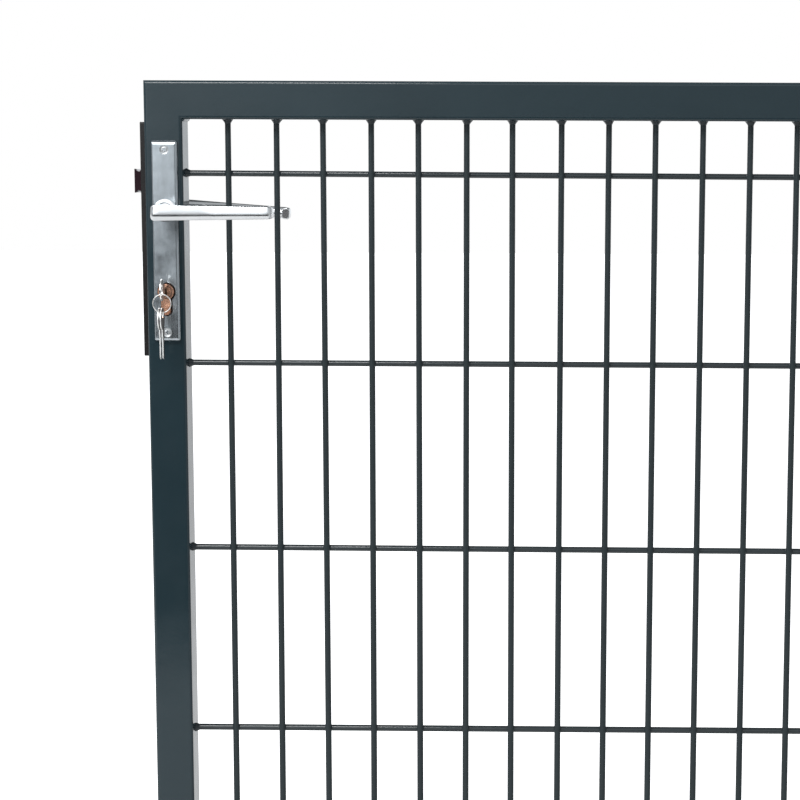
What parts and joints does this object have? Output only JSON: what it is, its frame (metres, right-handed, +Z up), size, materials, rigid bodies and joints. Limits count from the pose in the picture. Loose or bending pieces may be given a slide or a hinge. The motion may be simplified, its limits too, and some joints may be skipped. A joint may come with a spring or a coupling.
{
  "type": "mesh garden gate with one lever-locked leaf on a hinge post",
  "caption": "Welded tube-framed mesh garden gate leaf with lever lock and keys, hung on a square post with a foot plate.",
  "frame": {"origin": "centre of the underside of the hinge post's foot plate, on the ground", "axes": "+X to the right seen from the front, the leaf reaching to -X; +Y to the back; +Z up"},
  "size_m": [1.209, 0.1668, 1.082],
  "materials": {
    "frame_coat": "satin anthracite powder coat",
    "wire_coat": "satin anthracite powder coat",
    "black_plastic": "matt",
    "hinge_zinc": "zinc plated",
    "lock_steel": "bare steel",
    "black_strip": "black lacquer",
    "plate_zinc": "mottled zinc",
    "lever_aluminium": "satin polished",
    "cylinder_brass": "turned",
    "plug_brass": "turned",
    "latch_steel": "dark with bright edges",
    "key_nickel": "nickel plated",
    "ring_steel": "nickel plated"
  },
  "bodies": {
    "post": {"hinge_post": "frame_coat", "foot_plate": "frame_coat", "post_cap": "black_plastic", "upper_pintle": "hinge_zinc", "lower_pintle": "hinge_zinc", "upper_pintle_nuts": "hinge_zinc", "lower_pintle_nuts": "hinge_zinc"},
    "leaf": {"top_rail": "frame_coat", "bottom_rail": "frame_coat", "lock_stile": "frame_coat", "hinge_stile": "frame_coat", "mesh_panel": "wire_coat", "upper_eye_bolt": "hinge_zinc", "lower_eye_bolt": "hinge_zinc", "upper_eye_nuts": "hinge_zinc", "lower_eye_nuts": "hinge_zinc", "lock_case": "lock_steel", "face_strip": "black_strip", "dead_bolt": "lock_steel", "front_plate": "plate_zinc", "back_plate": "plate_zinc", "front_collar": "lever_aluminium", "back_collar": "lever_aluminium", "cylinder_body": "cylinder_brass", "back_plug": "plug_brass"},
    "handle": {"front_lever": "lever_aluminium", "back_lever": "lever_aluminium", "spindle": "lock_steel"},
    "latch": {"latch_bolt": "latch_steel"},
    "key": {"front_plug": "plug_brass", "inserted_key": "key_nickel"},
    "key_bunch": {"key_ring": "ring_steel", "left_spare_key": "key_nickel", "right_spare_key": "key_nickel"}
  },
  "joints": [
    {"name": "leaf_swing", "type": "hinge", "parent": "post", "child": "leaf", "pos_m": [-0.068, 0, 0.248], "axis": [0, 0, -1], "range_deg": [0, 90]},
    {"name": "lever_turn", "type": "hinge", "parent": "leaf", "child": "handle", "pos_m": [-1.1025, 0, 0.9115], "axis": [0, 1, 0], "range_deg": [0, 40], "stiffness_Nm_per_rad": 1.2, "springref_deg": -34.38},
    {"name": "latch_slide", "type": "slide", "parent": "leaf", "child": "latch", "axis": [1, 0, 0], "range_m": [0, 0.009]},
    {"name": "key_turn", "type": "hinge", "parent": "leaf", "child": "key", "pos_m": [-1.1025, -0.03, 0.8265], "axis": [0, 1, 0], "continuous": true},
    {"name": "bunch_swing", "type": "hinge", "parent": "key", "child": "key_bunch", "pos_m": [-1.1025, -0.053, 0.8222], "axis": [0, 1, 0], "range_deg": [-135, 135]}
  ],
  "couplings": [
    {"joint": "latch_slide", "follows": "lever_turn", "m_per_rad": 0.012891}
  ]
}
